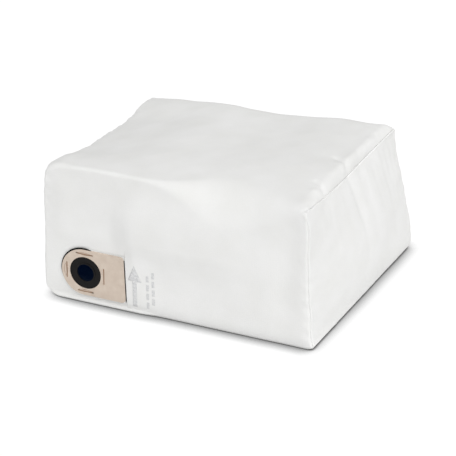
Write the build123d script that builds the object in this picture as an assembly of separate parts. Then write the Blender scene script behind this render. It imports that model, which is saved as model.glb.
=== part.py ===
"""Fleece filter bag for a workshop dust collector, blown up to its working shape and standing on its base.

Millimetres. +X runs along the length, +Y from the inlet wall to the back, +Z up.
The origin is the middle of the base panel, on the surface that the bag stands on.
"""
from build123d import *
import math
import os

# Bag, blown up
BAG_LENGTH = 505.0        # along X, at the base
BAG_DEPTH = 440.0         # along Y, at the base
FRONT_HEIGHT = 250.0      # height of the inlet wall
BACK_HEIGHT = 228.0       # height of the back wall
BACK_LEAN = 36.0          # how far the back wall leans forward at its top
LEFT_LEAN = 7.0           # how far the left end leans inward over the inlet wall's height
RIGHT_LEAN = 22.0         # the same for the right end
FRONT_TOP_RADIUS = 24.0   # soft rolls of the wrap
BACK_TOP_RADIUS = 20.0
BASE_RADIUS = 8.0

# Cloth, from the outside in
FLEECE = 1.2              # outer spunbond fleece
FILTER = 1.0              # melt-blown filter wadding
SCRIM = 0.8               # inner net that keeps the wadding off the dust
PLY_GAP = 0.2             # the plies lie loose on one another

# Seams
SEAM_LIP = 2.0            # the wrap's edge stands this far proud of an end panel
ALLOWANCE_WIDTH = 9.0     # cloth turned into the bag at each end seam
ALLOWANCE_THICKNESS = 2.0
LAP_WIDTH = 14.0          # the overlap that closes the wrap into a tube
LAP_THICKNESS = 1.2
LAP_HEIGHT = 44.0         # middle of the overlap, up the back wall

# Inlet flange
PLATE_FROM_LEFT = 32.0    # from the bag's left edge, at the base, to the plate's round end
PLATE_FROM_BASE = 15.0    # from the base to the plate's lower edge
PLATE_REACH = 78.0        # from the middle of the plate's round end to its square end
PLATE_SKEW = 1.6          # the square end is cut askew: short by this at its top, long by this at its foot
PLATE_CORNER = 8.0
PLATE_THICKNESS = 2.4
PLATE_RIM = 6.35          # board left outside the slots, on average
BORE_SHIFT_X = 2.5        # the bore is a little off the middle of the plate's round end
BORE_SHIFT_Z = -0.6
OPENING_DIAMETER = 60.0   # hole in the boards, where the rubber shows
BORE_DIAMETER = 32.0      # hole in the rubber, stretched over the machine's spigot
MEMBRANE_THICKNESS = 1.2
MEMBRANE_OVERSIZE = 1.0   # radius of the rubber disc past the plate's rounded end
MEMBRANE_SHIFT_X = -0.6   # the disc is glued in a little off the round end's middle
MEMBRANE_SHIFT_Z = 1.6
LIP_WIDTH = 2.4           # bead round the bore
LIP_HEIGHT = 0.8
PATCH_THICKNESS = 1.0     # fleece patch under the plate
PATCH_MARGIN = 1.0
PATCH_CORNER = 1.5
GLUE_THICKNESS = 0.4
GLUE_WIDTH = 2.5
HOLE_CLEARANCE = 1.0      # the holes in cloth and glue are this much wider than the opening, on the radius
RETAINER_THICKNESS = 1.5
RETAINER_RIM = 6.25       # board left outside the tabs, at the middle of each tab
TAB_LENGTH = 30.0         # four tabs bent out of the retainer board and through the plies
TAB_GAP = 0.85            # from the glue to a slot's edge
TAB_SINK = 0.3            # a tab ends this far below the plate's face
SLOT_CLEARANCE = 0.4      # all round a tab, in every ply

CUT_REACH = 40.0          # how far cutting shapes run past what they cut

# The flange is built outward from its opening: cloth hole, glue, slots and tabs, then the boards' rims.
CLOTH_HOLE_RADIUS = OPENING_DIAMETER / 2 + HOLE_CLEARANCE
GLUE_RADIUS = CLOTH_HOLE_RADIUS + GLUE_WIDTH
TAB_RADIUS = GLUE_RADIUS + TAB_GAP + SLOT_CLEARANCE + RETAINER_THICKNESS / 2
PLATE_RADIUS = TAB_RADIUS + RETAINER_THICKNESS / 2 + SLOT_CLEARANCE + PLATE_RIM
RETAINER_RADIUS = TAB_RADIUS + RETAINER_THICKNESS / 2 + RETAINER_RIM
INLET_X = -BAG_LENGTH / 2 + PLATE_FROM_LEFT + PLATE_RADIUS + BORE_SHIFT_X
INLET_HEIGHT = PLATE_FROM_BASE + PLATE_RADIUS + BORE_SHIFT_Z

# The inlet wall is upright, so each ply of the flange is a slab between two Y planes.
WALL_Y = -BAG_DEPTH / 2
PATCH_Y = WALL_Y - GLUE_THICKNESS
MEMBRANE_Y = PATCH_Y - PATCH_THICKNESS
PLATE_FACE_Y = MEMBRANE_Y - PLATE_THICKNESS

FILTER_INSET = FLEECE + PLY_GAP
SCRIM_INSET = FILTER_INSET + FILTER + PLY_GAP
INSIDE_INSET = SCRIM_INSET + SCRIM
RETAINER_Y = WALL_Y + INSIDE_INSET + GLUE_THICKNESS


def export(node, shape):
    """Writes one sub-part under its node name."""
    shape.label = node
    export_step(shape, os.path.join("parts", node + ".step"))


def profile_corners():
    """The bag's cross-section in Y and Z: corner points and the radius rolled at each."""
    return [
        (Vector(-BAG_DEPTH / 2, 0), BASE_RADIUS),
        (Vector(-BAG_DEPTH / 2, FRONT_HEIGHT), FRONT_TOP_RADIUS),
        (Vector(BAG_DEPTH / 2 - BACK_LEAN, BACK_HEIGHT), BACK_TOP_RADIUS),
        (Vector(BAG_DEPTH / 2, 0), BASE_RADIUS),
    ]


def profile(inset):
    """The cross-section as a face, shrunk by inset all round."""
    corners = profile_corners()
    outline = make_face(Polyline(*[point for point, _ in corners], close=True))
    for point, radius in corners:
        corner = outline.vertices().sort_by_distance(Vector(point.X, point.Y, 0))[0]
        outline = fillet(corner, radius)
    return offset(outline, amount=-inset) if inset else outline


def tube(inset, length):
    """The cross-section run along X, centred on the origin."""
    return extrude(Plane.YZ * profile(inset), amount=length / 2, both=True)


def between_ends(inset):
    """Everything between the two leaning ends, each moved inward by inset along its normal."""
    top = FRONT_HEIGHT + CUT_REACH
    ends = []
    for side, lean in ((-1, LEFT_LEAN), (1, RIGHT_LEAN)):
        slope = lean / FRONT_HEIGHT
        shift = inset * math.hypot(1, slope)
        base = BAG_LENGTH / 2 - shift
        low = Vector(side * (base + slope * CUT_REACH), -CUT_REACH)
        high = Vector(side * (base - slope * top), top)
        ends.append((low, high))
    (left_low, left_high), (right_low, right_high) = ends
    outline = make_face(Polyline(left_low, left_high, right_high, right_low, close=True))
    return extrude(Plane.XZ * outline, amount=BAG_DEPTH, both=True)


def block(wall_inset, end_inset):
    """The blown-up bag as a solid, shrunk by separate amounts at the wrap and at the ends."""
    return tube(wall_inset, 2 * BAG_LENGTH) & between_ends(end_inset)


def corner_line(index, outward, inward):
    """Two points on the line that halves a corner of the cross-section, one outside it and one inside."""
    corners = [point for point, _ in profile_corners()]
    here = corners[index]
    to_last = (corners[index - 1] - here).normalized()
    to_next = (corners[(index + 1) % len(corners)] - here).normalized()
    halving = (to_last + to_next).normalized()
    return here - halving * outward, here + halving * inward


def panel_region(first, second):
    """The part of space that belongs to the wrap panel between two corners of the cross-section."""
    first_out, first_in = corner_line(first, CUT_REACH, CUT_REACH)
    second_out, second_in = corner_line(second, CUT_REACH, CUT_REACH)
    outline = make_face(Polyline(first_out, second_out, second_in, first_in, close=True))
    return extrude(Plane.YZ * outline, amount=BAG_LENGTH, both=True)


def at_inlet(sketch, y, thickness):
    """A sketch drawn about the bore axis, made a slab from y towards the back."""
    plane = Plane(origin=(INLET_X, y, INLET_HEIGHT), x_dir=(1, 0, 0), z_dir=(0, -1, 0))
    return extrude(plane * sketch, amount=-thickness)


def ring(outer_radius, inner_radius):
    return Circle(outer_radius) - Circle(inner_radius)


def plate_outline(margin, corner):
    """The plate's outline: round on the left, nearly square on the right, drawn about the bore axis."""
    radius = PLATE_RADIUS + margin
    top, foot = PLATE_REACH + margin - PLATE_SKEW, PLATE_REACH + margin + PLATE_SKEW
    square = make_face(Polyline((0, -radius), (foot, -radius), (top, radius), (0, radius), close=True))
    right_corners = square.vertices().sort_by(Axis.X)[-2:]
    return Pos(-BORE_SHIFT_X, -BORE_SHIFT_Z) * (Circle(radius) + fillet(right_corners, corner))


def tab_places():
    """The middle and the turn of each of the four tabs round the bore."""
    return [Rot(0, 0, quarter * 90) * Pos(TAB_RADIUS, 0) for quarter in range(4)]


def tab_sketch(grow):
    """The four tabs, or with a clearance the slots that they pass through, with round ends."""
    width = RETAINER_THICKNESS + 2 * grow
    one = SlotOverall(TAB_LENGTH + 2 * grow, width, rotation=90)
    sketch = Sketch()
    for place in tab_places():
        sketch += place * one
    return sketch


def inlet_cut():
    """What every ply of cloth loses at the inlet: the round hole and the four slots."""
    hole = Circle(CLOTH_HOLE_RADIUS) + tab_sketch(SLOT_CLEARANCE)
    return at_inlet(hole, WALL_Y - CUT_REACH, 2 * CUT_REACH)


def wrap_panels():
    """The outer fleece that runs round front, top, back and base, as the four faces it makes."""
    wrap = block(0, 0) - tube(FLEECE, 2 * BAG_LENGTH)
    panels = {
        "front_panel": wrap & panel_region(0, 1),
        "top_panel": wrap & panel_region(1, 2),
        "back_panel": wrap & panel_region(2, 3),
        "bottom_panel": wrap & panel_region(3, 0),
    }
    panels["front_panel"] -= inlet_cut()
    return panels


def end_panels():
    """The two end panels, set inside the wrap's edge."""
    pair = block(FLEECE, SEAM_LIP) - between_ends(SEAM_LIP + FLEECE)
    left, right = pair.solids().sort_by(Axis.X)
    return {"left_end_panel": left, "right_end_panel": right}


def ply(name, inset, thickness):
    """One inner ply, cut like the outer fleece: a tube for the wrap and a flat piece for each end."""
    end_inset = SEAM_LIP + inset
    inner = inset + thickness
    wrap = block(inset, end_inset) - tube(inner, 2 * BAG_LENGTH) - inlet_cut()
    ends = block(inner, end_inset) - between_ends(end_inset + thickness)
    left, right = ends.solids().sort_by(Axis.X)
    return {
        name + "_wrap_ply": wrap,
        name + "_left_end_ply": left,
        name + "_right_end_ply": right,
    }


def end_seams():
    """The cloth turned into the bag at each end seam, welded into one strip round the end."""
    first = SEAM_LIP + INSIDE_INSET
    strips = block(INSIDE_INSET, first) - between_ends(first + ALLOWANCE_WIDTH)
    strips -= tube(INSIDE_INSET + ALLOWANCE_THICKNESS, 2 * BAG_LENGTH)
    left, right = strips.solids().sort_by(Axis.X)
    return {"left_end_seam": left, "right_end_seam": right}


def closing_seam():
    """The strip where the wrap overlaps itself, along the back wall."""
    lean = math.atan2(BACK_LEAN, BACK_HEIGHT)
    outside = tube(-LAP_THICKNESS, 2 * BAG_LENGTH) - tube(0, 2 * BAG_LENGTH)
    middle = Pos(0, BAG_DEPTH / 2 - LAP_HEIGHT * math.tan(lean), LAP_HEIGHT) * Rot(math.degrees(lean), 0, 0)
    band = middle * Box(2 * BAG_LENGTH, CUT_REACH, LAP_WIDTH)
    return outside & band & between_ends(0)


def flange_plate():
    """Kraft board plate with the opening, the four slots and a pressed seat for the rubber disc."""
    outline = plate_outline(0, PLATE_CORNER) - Circle(OPENING_DIAMETER / 2) - tab_sketch(SLOT_CLEARANCE)
    plate = at_inlet(outline, PLATE_FACE_Y, PLATE_THICKNESS)
    seat = at_inlet(membrane_disc(), MEMBRANE_Y - MEMBRANE_THICKNESS, MEMBRANE_THICKNESS)
    return plate - seat


def membrane_disc():
    middle = Pos(MEMBRANE_SHIFT_X - BORE_SHIFT_X, MEMBRANE_SHIFT_Z - BORE_SHIFT_Z)
    return middle * Circle(PLATE_RADIUS + MEMBRANE_OVERSIZE)


def seal_membrane():
    """Rubber disc with a bead round the bore."""
    bore = BORE_DIAMETER / 2
    sheet = membrane_disc() - Circle(bore) - tab_sketch(SLOT_CLEARANCE)
    disc = at_inlet(sheet, MEMBRANE_Y - MEMBRANE_THICKNESS, MEMBRANE_THICKNESS)
    bead = at_inlet(ring(bore + LIP_WIDTH, bore), MEMBRANE_Y - MEMBRANE_THICKNESS - LIP_HEIGHT, LIP_HEIGHT)
    return disc + bead


def inlet_patch():
    """Fleece patch that stiffens the wall under the plate."""
    outline = plate_outline(PATCH_MARGIN, PATCH_CORNER) - Circle(CLOTH_HOLE_RADIUS)
    outline -= tab_sketch(SLOT_CLEARANCE)
    return at_inlet(outline, MEMBRANE_Y, PATCH_THICKNESS)


def glue_ring(y):
    return at_inlet(ring(GLUE_RADIUS, CLOTH_HOLE_RADIUS), y, GLUE_THICKNESS)


def flange_retainer():
    """Kraft board ring inside the bag, with the four tabs that hold the plies together."""
    board = at_inlet(ring(RETAINER_RADIUS, OPENING_DIAMETER / 2), RETAINER_Y, RETAINER_THICKNESS)
    tab_end = PLATE_FACE_Y + TAB_SINK
    tabs = at_inlet(tab_sketch(0), tab_end, RETAINER_Y + RETAINER_THICKNESS - tab_end)
    return board + tabs


def main():
    os.makedirs("parts", exist_ok=True)
    nodes = {}
    nodes.update(wrap_panels())
    nodes.update(end_panels())
    nodes.update(end_seams())
    nodes["closing_seam"] = closing_seam()
    nodes.update(ply("filter", FILTER_INSET, FILTER))
    nodes.update(ply("scrim", SCRIM_INSET, SCRIM))
    nodes["outer_glue_ring"] = glue_ring(PATCH_Y)
    nodes["inlet_patch"] = inlet_patch()
    nodes["seal_membrane"] = seal_membrane()
    nodes["flange_plate"] = flange_plate()
    nodes["inner_glue_ring"] = glue_ring(WALL_Y + INSIDE_INSET)
    nodes["flange_retainer"] = flange_retainer()
    for node, shape in nodes.items():
        export(node, shape)


main()
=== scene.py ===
"""Looks of a blown-up fleece filter bag for a workshop dust collector.

Metres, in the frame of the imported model: +X along the bag, the inlet wall faces -Y, +Z up, base at Z = 0.
"""
import logging
import math
from dataclasses import dataclass, field
from enum import Enum

import bpy
import numpy as np
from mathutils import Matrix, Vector


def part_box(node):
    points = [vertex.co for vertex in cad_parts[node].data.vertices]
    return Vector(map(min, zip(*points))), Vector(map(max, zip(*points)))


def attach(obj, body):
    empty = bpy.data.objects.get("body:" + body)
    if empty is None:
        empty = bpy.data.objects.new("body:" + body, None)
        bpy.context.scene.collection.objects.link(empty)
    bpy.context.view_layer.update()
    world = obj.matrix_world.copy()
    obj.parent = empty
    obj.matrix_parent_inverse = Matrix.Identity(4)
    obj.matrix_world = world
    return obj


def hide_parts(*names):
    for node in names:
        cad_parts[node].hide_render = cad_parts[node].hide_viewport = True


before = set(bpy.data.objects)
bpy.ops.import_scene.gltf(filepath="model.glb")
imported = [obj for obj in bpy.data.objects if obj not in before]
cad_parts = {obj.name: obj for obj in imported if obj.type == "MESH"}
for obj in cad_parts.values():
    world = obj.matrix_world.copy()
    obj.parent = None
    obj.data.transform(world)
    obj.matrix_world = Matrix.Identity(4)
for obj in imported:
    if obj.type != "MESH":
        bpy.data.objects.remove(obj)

MM = 0.001
BODY = "root"
log = logging.getLogger("filter_bag")


# ---------------------------------------------------------------- numbers and curves

def through(x: np.ndarray, places: list, values: list) -> np.ndarray:
    """Smooth curve through a few points: cubics that meet at each point with the slope of its neighbours.

    Args:
        x: where the curve is wanted.
        places: rising positions of the points.
        values: heights at those positions.

    Returns:
        The curve's height at each x, held level past both ends.
    """
    at, height = np.asarray(places, float), np.asarray(values, float)
    slope = np.gradient(height, at)
    i = np.clip(np.searchsorted(at, x) - 1, 0, len(at) - 2)
    span = at[i + 1] - at[i]
    f = np.clip((x - at[i]) / span, 0.0, 1.0)
    rise = (3 - 2 * f) * f * f
    start = slope[i] * span * f * (1 - f) ** 2
    end = slope[i + 1] * span * f * f * (1 - f)
    return height[i] * (1 - rise) + height[i + 1] * rise + start - end


def ease(x: np.ndarray, low: float, high: float) -> np.ndarray:
    """Smooth step: 0 below low, 1 above high, 3f^2 - 2f^3 between."""
    f = np.clip((x - low) / (high - low), 0.0, 1.0)
    return f * f * (3 - 2 * f)


def fade(x: np.ndarray, low: float, high: float) -> np.ndarray:
    """Smooth step down: 1 below low, 0 above high."""
    return 1 - ease(x, low, high)


def ripple(points: np.ndarray, wavelength: float, seed: int, waves: int = 9) -> np.ndarray:
    """Smooth unevenness, mostly between -1 and 1: a sum of plane waves with seeded directions and phases.

    Args:
        points: array ending in x, y, z.
        wavelength: typical distance between crests, in the points' own unit.
        seed: picks the pattern.
        waves: how many waves are added.

    Returns:
        One value for each point.
    """
    rng = np.random.default_rng(seed)
    total = np.zeros(points.shape[:-1])
    for _ in range(waves):
        way = rng.normal(size=3)
        way *= 2 * math.pi / (np.linalg.norm(way) * wavelength * rng.uniform(0.7, 1.5))
        total += np.sin(points @ way + rng.uniform(0, 2 * math.pi))
    return total / math.sqrt(waves)


def unit(vectors: np.ndarray) -> np.ndarray:
    """Each vector at length 1."""
    return vectors / np.maximum(np.linalg.norm(vectors, axis=-1, keepdims=True), 1e-12)


def linear(code: str) -> tuple:
    """The linear colour of an sRGB hex code, with alpha 1."""
    parts = [int(code.lstrip("#")[i:i + 2], 16) / 255 for i in (0, 2, 4)]
    return tuple(c / 12.92 if c <= 0.04045 else ((c + 0.055) / 1.055) ** 2.4 for c in parts) + (1.0,)


# ---------------------------------------------------------------- meshes

def grid_faces(rows: int, columns: int, closed: bool = False) -> np.ndarray:
    """Quads of a grid of points. They face along the cross product of a step in rows and one in columns.

    Args:
        rows: number of rows of points.
        columns: number of points in a row.
        closed: whether the last column joins the first.

    Returns:
        Indices of each face's four points.
    """
    row = np.arange(rows - 1)[:, None] * columns
    column = np.arange(columns if closed else columns - 1)[None, :]
    after = (column + 1) % columns
    quads = np.stack([row + column, row + columns + column, row + columns + after, row + after], axis=-1)
    return quads.reshape(-1, 4)


def make_piece(name: str, points: np.ndarray, faces: np.ndarray) -> bpy.types.Object:
    """A new smooth-shaded mesh object at the origin.

    Args:
        name: the piece's name.
        points: its points, in metres.
        faces: quads by point index. Points that no face uses are left out.

    Returns:
        The object.
    """
    used, packed = np.unique(faces, return_inverse=True)
    mesh = bpy.data.meshes.new(name)
    mesh.from_pydata(points.reshape(-1, 3)[used].tolist(), [], packed.reshape(faces.shape).tolist())
    mesh.polygons.foreach_set("use_smooth", np.ones(len(mesh.polygons), bool))
    mesh.update()
    piece = bpy.data.objects.new(name, mesh)
    bpy.context.scene.collection.objects.link(piece)
    return piece


def thicken(piece: bpy.types.Object, thickness: float, side: float = -1.0) -> None:
    """Gives a sheet its wall.

    Args:
        piece: the sheet.
        thickness: the wall's thickness in millimetres.
        side: -1 for a wall inward of the sheet, 1 for one outward and 0 for one on both of its sides.
    """
    wall = piece.modifiers.new("wall", "SOLIDIFY")
    wall.thickness = thickness * MM
    wall.offset = side


def finish_piece(piece: bpy.types.Object, material: bpy.types.Material) -> None:
    """Dresses a piece, logs its face count and lets it ride on the bag.

    Args:
        piece: the piece, which gets this one material.
        material: its finish.
    """
    piece.data.materials.clear()
    piece.data.materials.append(material)
    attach(piece, BODY)
    log.info("%s: %d faces", piece.name, len(piece.data.polygons))


# ---------------------------------------------------------------- finishes

def add_node(tree: bpy.types.NodeTree, kind: str, inputs: dict | None = None,
             **settings: object) -> bpy.types.Node:
    """Adds one node.

    Args:
        tree: the material's node tree.
        kind: the node's type without "ShaderNode".
        inputs: a value or another node's output for each input, by name or number.
        settings: the node's own properties.

    Returns:
        The node.
    """
    node = tree.nodes.new("ShaderNode" + kind)
    for name, value in settings.items():
        setattr(node, name, value)
    for key, value in (inputs or {}).items():
        if isinstance(value, bpy.types.NodeSocket):
            tree.links.new(value, node.inputs[key])
        else:
            node.inputs[key].default_value = value
    return node


def texture_scale(size: float) -> float:
    """The scale of a noise or Voronoi texture whose features are of a size in millimetres."""
    return 1 / (size * MM)


def band_scale(pitch: float) -> float:
    """The scale of a Wave texture whose bands lie at a pitch in millimetres."""
    return math.pi / 10 / (pitch * MM)


def start_material(name: str) -> tuple:
    """A new material with nothing in it yet.

    Args:
        name: the material's name.

    Returns:
        The material, its node tree and the tree's Object coordinates.
    """
    material = bpy.data.materials.new(name)
    material.use_nodes = True
    tree = material.node_tree
    tree.nodes.clear()
    return material, tree, add_node(tree, "TexCoord").outputs["Object"]


def mottle(tree: bpy.types.NodeTree, place: bpy.types.NodeSocket, size: float, low: str, high: str,
           detail: float = 3.0, spread: float = 0.18) -> bpy.types.NodeSocket:
    """Colour that wanders between two shades in blotches.

    Args:
        tree: the material's node tree.
        place: the coordinates that the blotches lie in.
        size: the blotches' size in millimetres.
        low: the darker shade, an sRGB hex code.
        high: the lighter shade.
        detail: how finely the blotches' rims are broken.
        spread: how far from the middle of the noise each pure shade starts. A small one gives hard rims.

    Returns:
        The colour's socket.
    """
    noise = add_node(tree, "TexNoise", {"Vector": place, "Scale": texture_scale(size), "Detail": detail})
    ramp = add_node(tree, "ValToRGB", {"Fac": noise.outputs["Fac"]})
    ends = ramp.color_ramp.elements
    ends[0].position, ends[1].position = 0.5 - spread, 0.5 + spread
    ends[0].color, ends[1].color = linear(low), linear(high)
    return ramp.outputs["Color"]


@dataclass(frozen=True)
class Fleece:
    """Spunbond polypropylene: a web of fine white fibres, point-bonded. Matt, faintly cloudy, never shiny."""
    name: str = "spunbond_polypropylene_fleece"
    low: str = "#EEEEEC"
    high: str = "#F3F3F2"
    dot_pitch: float = 3.4          # bonded points are about 1.8 mm apart, drawn coarser so that they show
    fibre: float = 1.6              # the fibres' own 0.03 mm is far too fine, so tufts of them are drawn
    cloud: float = 60.0             # the web is laid in clouds about three fingers wide
    relief: float = 0.16
    depth: float = 0.5
    welded: bool = False
    bar_pitch: float = 4.0          # a welded seam is pressed by a wheel with bars at this pitch

    def make(self) -> bpy.types.Material:
        """Builds the material.

        Returns:
            The material.
        """
        material, tree, place = start_material(self.name)
        colour = mottle(tree, place, self.cloud, self.low, self.high, detail=4.0, spread=0.22)
        tufts = add_node(tree, "TexNoise", {"Vector": place, "Scale": texture_scale(self.fibre), "Detail": 5.0,
                                            "Roughness": 0.62, "Distortion": 0.6})
        speck = add_node(tree, "MapRange", {"Value": tufts.outputs["Fac"], "From Min": 0.35, "From Max": 0.7,
                                            "To Min": 0.97, "To Max": 1.0})
        shade = add_node(tree, "MixRGB", {"Fac": 1.0, "Color1": colour, "Color2": speck.outputs[0]},
                         blend_type="MULTIPLY")
        dots = add_node(tree, "TexVoronoi", {"Vector": place, "Scale": texture_scale(self.dot_pitch),
                                             "Randomness": 0.35})
        pit = add_node(tree, "MapRange", {"Value": dots.outputs["Distance"], "From Min": 0.12, "From Max": 0.42,
                                          "To Min": 0.0, "To Max": 1.0})
        height = add_node(tree, "Math", {0: pit.outputs[0], 1: tufts.outputs["Fac"]}, operation="ADD")
        bump = add_node(tree, "Bump", {"Strength": self.relief, "Distance": self.depth * MM,
                                       "Height": height.outputs[0]})
        if self.welded:
            bars = add_node(tree, "TexWave", {"Vector": place, "Scale": band_scale(self.bar_pitch)},
                            bands_direction="X")
            bump = add_node(tree, "Bump", {"Strength": 0.5, "Distance": 0.6 * MM, "Height": bars.outputs["Fac"],
                                           "Normal": bump.outputs[0]})
        shader = add_node(tree, "BsdfPrincipled", {
            "Base Color": shade.outputs[0], "Roughness": 0.92, "Specular IOR Level": 0.25,
            "Sheen Weight": 0.12, "Sheen Roughness": 0.6, "Normal": bump.outputs[0]})
        add_node(tree, "OutputMaterial", {"Surface": shader.outputs[0]})
        return material


@dataclass(frozen=True)
class Kraft:
    """Grey-brown pressed kraft board: short pulp fibres, a little darker in streaks, matt with a soft tooth."""
    name: str = "kraft_board"
    low: str = "#CDBDAE"
    high: str = "#D8CABC"
    fleck: str = "#A8927E"
    cloud: float = 14.0             # the pulp settles in clouds of a finger's width
    fibre: float = 1.5              # pulp fibres are 1 to 3 mm long

    def make(self) -> bpy.types.Material:
        """Builds the material.

        Returns:
            The material.
        """
        material, tree, place = start_material(self.name)
        colour = mottle(tree, place, self.cloud, self.low, self.high, detail=5.0, spread=0.2)
        long = add_node(tree, "Mapping", {"Vector": place, "Scale": (0.35, 1.0, 1.0),
                                          "Rotation": (0.0, 0.5, 0.0)})
        pulp = add_node(tree, "TexNoise", {"Vector": long.outputs[0], "Scale": texture_scale(self.fibre),
                                           "Detail": 6.0, "Roughness": 0.7, "Distortion": 1.0})
        mark = add_node(tree, "MapRange", {"Value": pulp.outputs["Fac"], "From Min": 0.62, "From Max": 0.74,
                                           "To Min": 0.0, "To Max": 0.6})
        shade = add_node(tree, "MixRGB", {"Fac": mark.outputs[0], "Color1": colour,
                                          "Color2": linear(self.fleck)})
        bump = add_node(tree, "Bump", {"Strength": 0.25, "Distance": 0.3 * MM, "Height": pulp.outputs["Fac"]})
        shader = add_node(tree, "BsdfPrincipled", {
            "Base Color": shade.outputs[0], "Roughness": 0.86, "Specular IOR Level": 0.3,
            "Normal": bump.outputs[0]})
        add_node(tree, "OutputMaterial", {"Surface": shader.outputs[0]})
        return material


@dataclass(frozen=True)
class Rubber:
    """Black moulded rubber: near-black, satin, with a very fine mould grain and a dusty bloom."""
    name: str = "moulded_rubber"
    low: str = "#0A0808"
    high: str = "#141111"
    bloom: float = 9.0              # the dusty bloom lies in blotches of a pencil's width
    grain: float = 0.9              # the mould's own 0.1 mm grain is too fine to show, so it is drawn coarser

    def make(self) -> bpy.types.Material:
        """Builds the material.

        Returns:
            The material.
        """
        material, tree, place = start_material(self.name)
        colour = mottle(tree, place, self.bloom, self.low, self.high, detail=4.0, spread=0.2)
        grain = add_node(tree, "TexNoise", {"Vector": place, "Scale": texture_scale(self.grain), "Detail": 4.0})
        bump = add_node(tree, "Bump", {"Strength": 0.2, "Distance": 0.2 * MM, "Height": grain.outputs["Fac"]})
        shader = add_node(tree, "BsdfPrincipled", {
            "Base Color": colour, "Roughness": 0.6, "IOR": 1.52, "Specular IOR Level": 0.17,
            "Normal": bump.outputs[0]})
        add_node(tree, "OutputMaterial", {"Surface": shader.outputs[0]})
        return material


@dataclass(frozen=True)
class Scrim:
    """Thin open net that holds the wadding, in the shade of the bag: blue-grey with square threads, and a faint
    painted blue glow.
    """
    name: str = "polyester_scrim_net"
    low: str = "#5B6470"
    high: str = "#6E7884"
    pitch: float = 4.0              # threads are about 1.5 mm apart, drawn coarser so that they show
    cloud: float = 20.0             # size of the blotches where the net lies closer to the wadding
    painted_glow: str = "#020817"           # painted light: a faint blue glow that stands in for the little light that comes in through the cloth

    def make(self) -> bpy.types.Material:
        """Builds the material.

        Returns:
            The material.
        """
        material, tree, place = start_material(self.name)
        colour = mottle(tree, place, self.cloud, self.low, self.high)
        warp, weft = (add_node(tree, "TexWave", {"Vector": place, "Scale": band_scale(self.pitch)},
                               bands_direction=way) for way in ("X", "Z"))
        net = add_node(tree, "Math", {0: warp.outputs["Fac"], 1: weft.outputs["Fac"]}, operation="MAXIMUM")
        bump = add_node(tree, "Bump", {"Strength": 0.5, "Distance": 0.4 * MM, "Height": net.outputs[0]})
        shader = add_node(tree, "BsdfPrincipled", {
            "Base Color": colour, "Roughness": 0.9, "Specular IOR Level": 0.2, "Normal": bump.outputs[0],
            # painted light: the net glows faintly blue, though it is no lamp
            "Emission Color": linear(self.painted_glow), "Emission Strength": 1.0})
        add_node(tree, "OutputMaterial", {"Surface": shader.outputs[0]})
        return material


@dataclass(frozen=True)
class Wadding:
    """Meltblown filter wadding: soft off-white fluff with no weave, cloudy at the size of a thumb."""
    name: str = "meltblown_filter_wadding"
    low: str = "#DCDCD8"
    high: str = "#ECECE9"
    cloud: float = 25.0             # the clouds of the fluff are as wide as a thumb
    fluff: float = 3.0              # meltblown fibres are far thinner than a hair, so tufts of them are drawn

    def make(self) -> bpy.types.Material:
        """Builds the material.

        Returns:
            The material.
        """
        material, tree, place = start_material(self.name)
        colour = mottle(tree, place, self.cloud, self.low, self.high, detail=6.0)
        fluff = add_node(tree, "TexNoise", {"Vector": place, "Scale": texture_scale(self.fluff), "Detail": 7.0,
                                            "Roughness": 0.7})
        bump = add_node(tree, "Bump", {"Strength": 0.6, "Distance": 0.8 * MM, "Height": fluff.outputs["Fac"]})
        shader = add_node(tree, "BsdfPrincipled", {
            "Base Color": colour, "Roughness": 0.95, "Sheen Weight": 0.3, "Normal": bump.outputs[0]})
        add_node(tree, "OutputMaterial", {"Surface": shader.outputs[0]})
        return material


@dataclass(frozen=True)
class HotMelt:
    """Hot-melt glue: milky and waxy, with the slow waves of a bead that was pressed flat while warm."""
    name: str = "hot_melt_glue"
    low: str = "#E6DFC8"
    high: str = "#EFEAD8"
    cloud: float = 6.0              # milky blotches about as wide as the bead
    wave: float = 4.0               # length of the waves that pressing left in the bead

    def make(self) -> bpy.types.Material:
        """Builds the material.

        Returns:
            The material.
        """
        material, tree, place = start_material(self.name)
        colour = mottle(tree, place, self.cloud, self.low, self.high)
        wave = add_node(tree, "TexNoise", {"Vector": place, "Scale": texture_scale(self.wave), "Detail": 1.0})
        bump = add_node(tree, "Bump", {"Strength": 0.3, "Distance": 0.5 * MM, "Height": wave.outputs["Fac"]})
        shader = add_node(tree, "BsdfPrincipled", {
            "Base Color": colour, "Roughness": 0.35, "Coat Weight": 0.2, "Normal": bump.outputs[0]})
        add_node(tree, "OutputMaterial", {"Surface": shader.outputs[0]})
        return material


@dataclass(frozen=True)
class Ink:
    """Pale grey stamp ink that the fleece has half drunk: broken where the roller missed the fibres."""
    name: str = "stamp_ink"
    low: str = "#CFD0D1"
    high: str = "#E3E3E3"
    gap: float = 2.2                # the roller's gaps are a little wider than a tuft of the fleece
    tooth: float = 1.6              # the fleece's tufts stand up through the ink

    def make(self) -> bpy.types.Material:
        """Builds the material.

        Returns:
            The material.
        """
        material, tree, place = start_material(self.name)
        colour = mottle(tree, place, self.gap, self.low, self.high, detail=5.0, spread=0.12)
        tooth = add_node(tree, "TexNoise", {"Vector": place, "Scale": texture_scale(self.tooth), "Detail": 4.0})
        bump = add_node(tree, "Bump", {"Strength": 0.15, "Distance": 0.4 * MM, "Height": tooth.outputs["Fac"]})
        shader = add_node(tree, "BsdfPrincipled", {
            "Base Color": colour, "Roughness": 0.9, "Specular IOR Level": 0.2, "Normal": bump.outputs[0]})
        add_node(tree, "OutputMaterial", {"Surface": shader.outputs[0]})
        return material


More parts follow.
